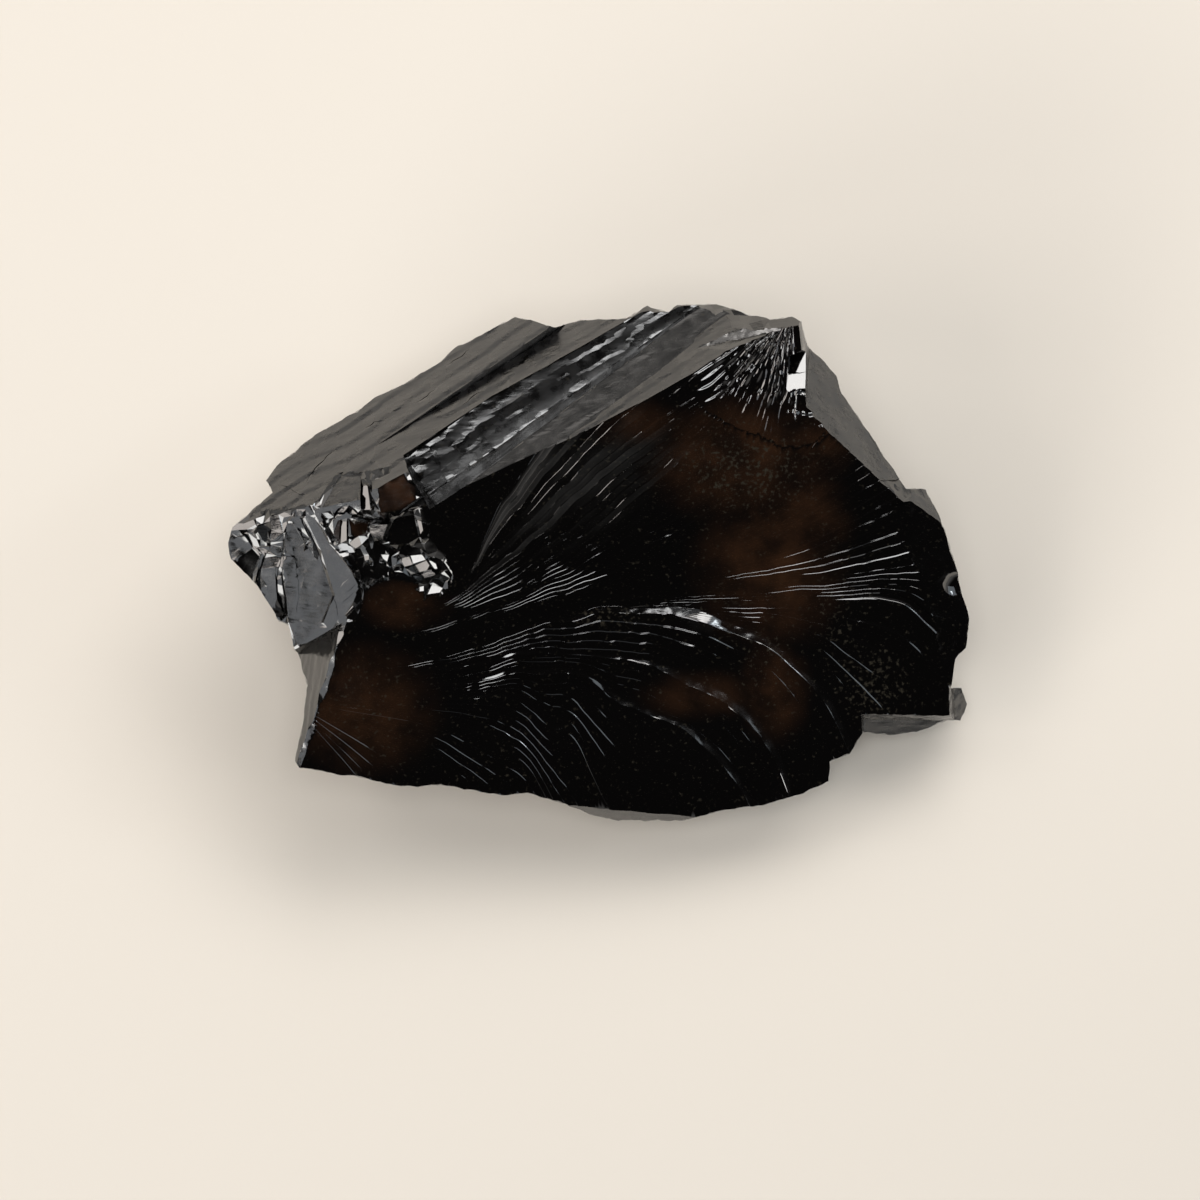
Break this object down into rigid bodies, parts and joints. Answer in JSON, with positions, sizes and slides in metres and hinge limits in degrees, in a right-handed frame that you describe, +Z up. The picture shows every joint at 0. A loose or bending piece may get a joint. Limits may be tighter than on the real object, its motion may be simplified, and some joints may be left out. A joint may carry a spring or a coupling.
{
  "type": "shungite stone",
  "caption": "Free-standing lump of glassy black noble shungite with fan-shaped conchoidal fracture faces, resting on a flat break.",
  "frame": {"origin": "on the resting plane, under the middle of the stone's outline", "axes": "+Z up from the resting plane, +X along the stone's length towards its blunt end, +Y towards its slabby back edge"},
  "size_m": [0.0742, 0.0519, 0.0265],
  "materials": {
    "shungite": "gloss"
  },
  "bodies": {
    "root": {"stone": "shungite"}
  },
  "joints": []
}
